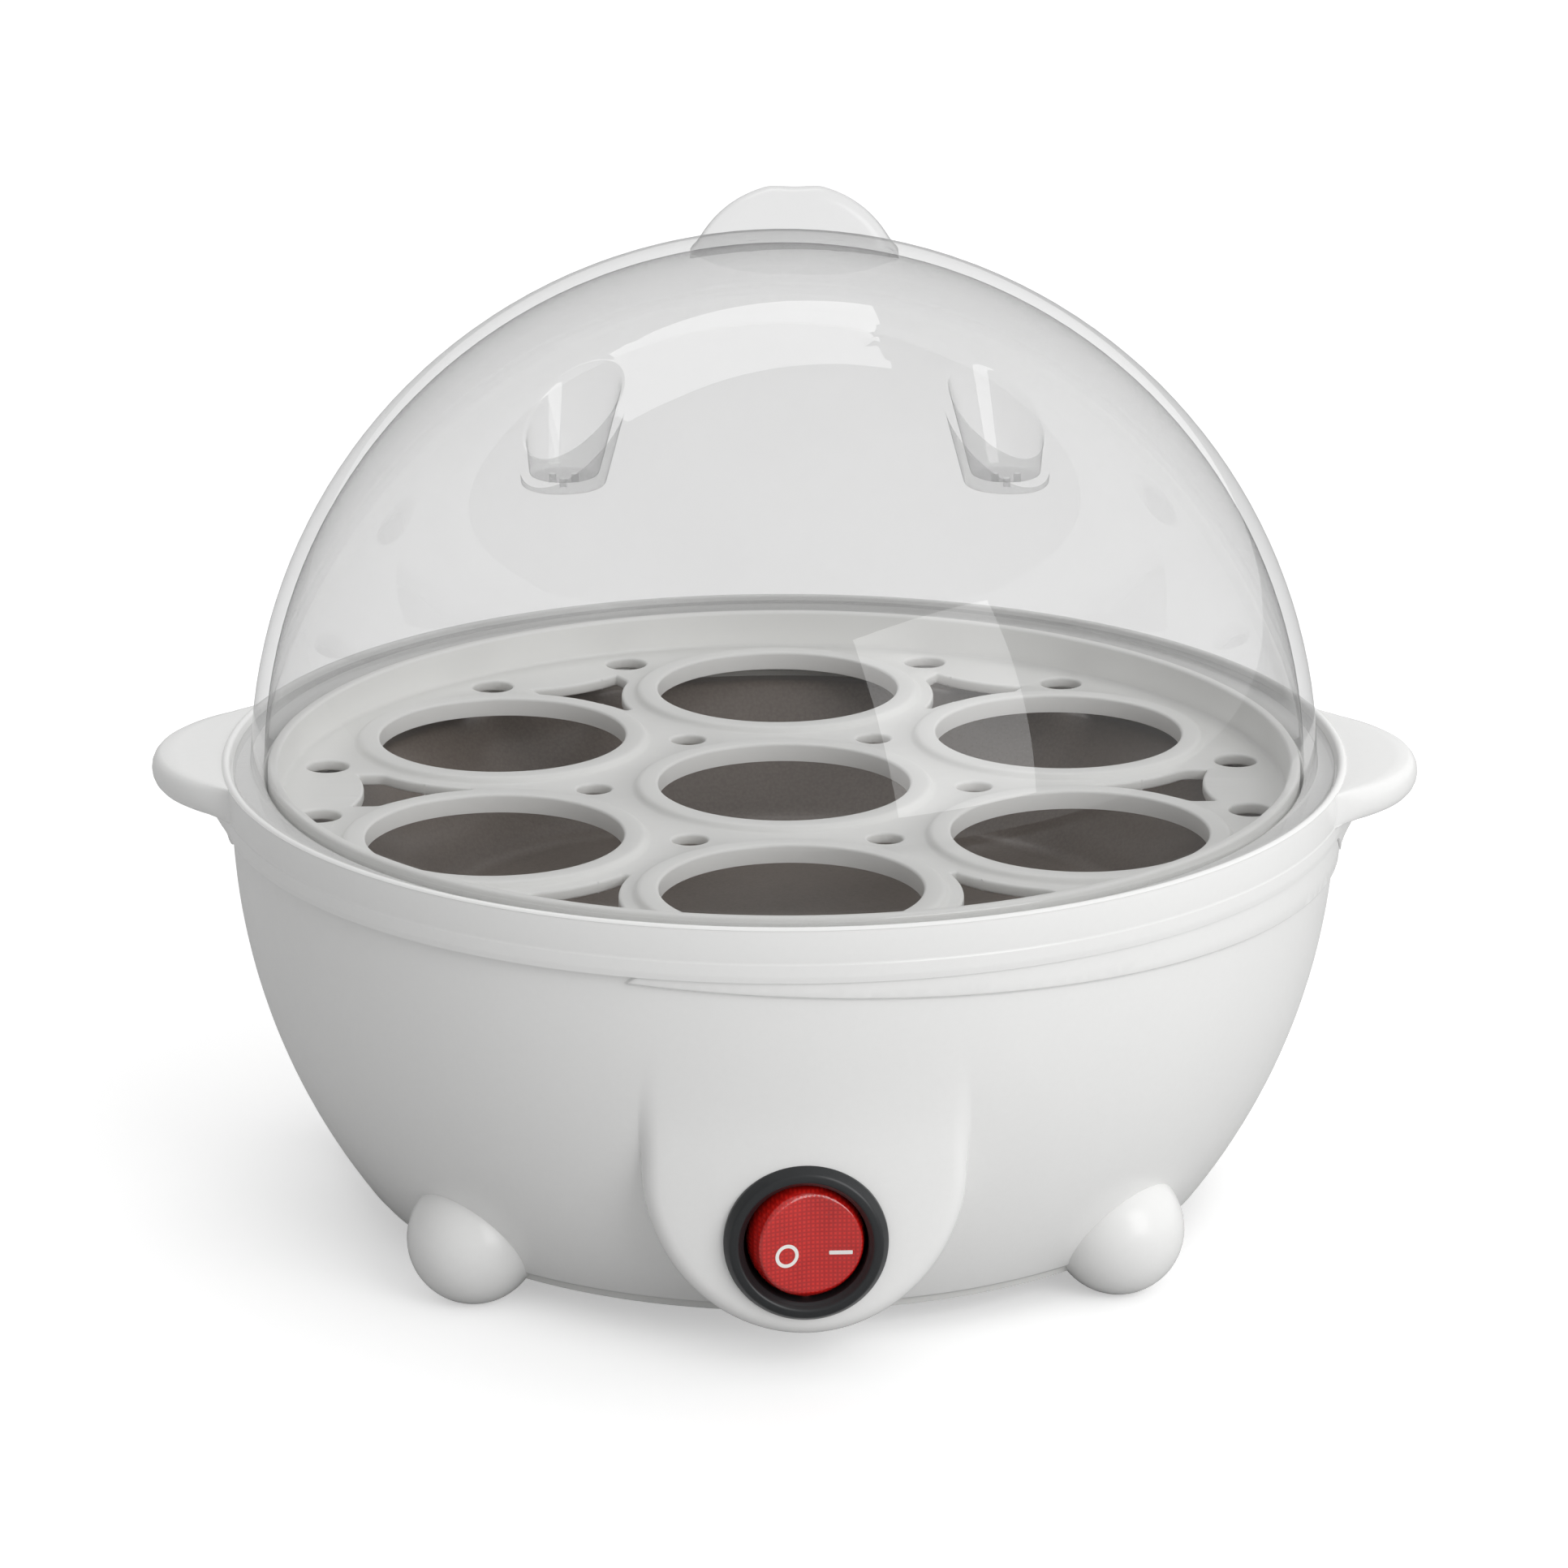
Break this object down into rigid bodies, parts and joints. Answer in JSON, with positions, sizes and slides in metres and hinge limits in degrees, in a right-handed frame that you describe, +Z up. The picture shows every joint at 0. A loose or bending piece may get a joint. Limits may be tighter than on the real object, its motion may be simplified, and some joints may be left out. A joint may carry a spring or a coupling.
{
  "type": "electric egg cooker",
  "caption": "Domed electric egg steamer: clear lift-off lid over a perforated egg tray, water pan with heater, white bowl housing and a round lit rocker switch.",
  "frame": {"origin": "on the floor under the bowl's axis", "axes": "+Z up along the bowl's axis, -Y towards the switch, +X to the right when facing the switch"},
  "size_m": [0.1878, 0.1666, 0.153],
  "materials": {
    "white_housing": "glossy white polypropylene",
    "white_tray": "satin white polypropylene",
    "clear_lid": "clear polystyrene, polished",
    "base_plastic": "matt white polypropylene",
    "pan_metal": "grey-brown non-stick coated aluminium",
    "cast_aluminium": "as cast",
    "heater_steel": "drawn steel tube",
    "zinc_steel": "zinc plated",
    "black_nylon": "moulded",
    "red_lens": "clear red, moulded",
    "white_print": "printed",
    "brass": "rolled",
    "ceramic": "unglazed",
    "silicone": "moulded",
    "neon_glass": "clear",
    "fibre_sleeve": "woven glass fibre",
    "natural_nylon": "moulded",
    "live_insulation": "extruded",
    "neutral_insulation": "extruded",
    "switched_insulation": "extruded",
    "heater_insulation": "extruded"
  },
  "bodies": {
    "base": {"upper_ring": "white_housing", "bowl_housing": "white_housing", "base_cover": "base_plastic", "feet": "white_housing", "base_screws": "zinc_steel", "heating_pan": "pan_metal", "pan_gasket": "silicone", "heat_spreader": "cast_aluminium", "heating_element": "heater_steel", "element_beads": "ceramic", "element_pins": "zinc_steel", "clamp_bridge": "zinc_steel", "bridge_nuts": "zinc_steel", "thermostat": "black_nylon", "thermostat_blades": "brass", "thermostat_screws": "zinc_steel", "thermal_fuse": "brass", "fuse_sleeve": "fibre_sleeve", "fuse_clip": "zinc_steel", "fuse_screw": "zinc_steel", "switch_housing": "black_nylon", "switch_blades": "brass", "switch_lamp": "neon_glass", "cord_gland": "black_nylon", "terminal_block": "natural_nylon", "terminal_screws": "brass", "crimp_connectors": "brass", "lead_live": "live_insulation", "lead_switched": "switched_insulation", "lead_heater": "heater_insulation", "lead_fuse": "heater_insulation", "lead_neutral": "neutral_insulation", "lead_lamp": "neutral_insulation"},
    "lid": {"lid_dome": "clear_lid", "lid_grip": "clear_lid"},
    "tray": {"egg_tray": "white_tray"},
    "rocker": {"switch_rocker": "red_lens", "switch_symbols": "white_print"}
  },
  "joints": [
    {"name": "tray_lift", "type": "slide", "parent": "base", "child": "tray", "axis": [0, 0, 1], "range_m": [0, 0.06]},
    {"name": "lid_lift", "type": "slide", "parent": "tray", "child": "lid", "axis": [0, 0, 1], "range_m": [0, 0.09]},
    {"name": "rocker_pivot", "type": "hinge", "parent": "base", "child": "rocker", "pos_m": [0, -0.0774, 0.0211], "axis": [0, 0, -1], "range_deg": [0, 20]}
  ]
}
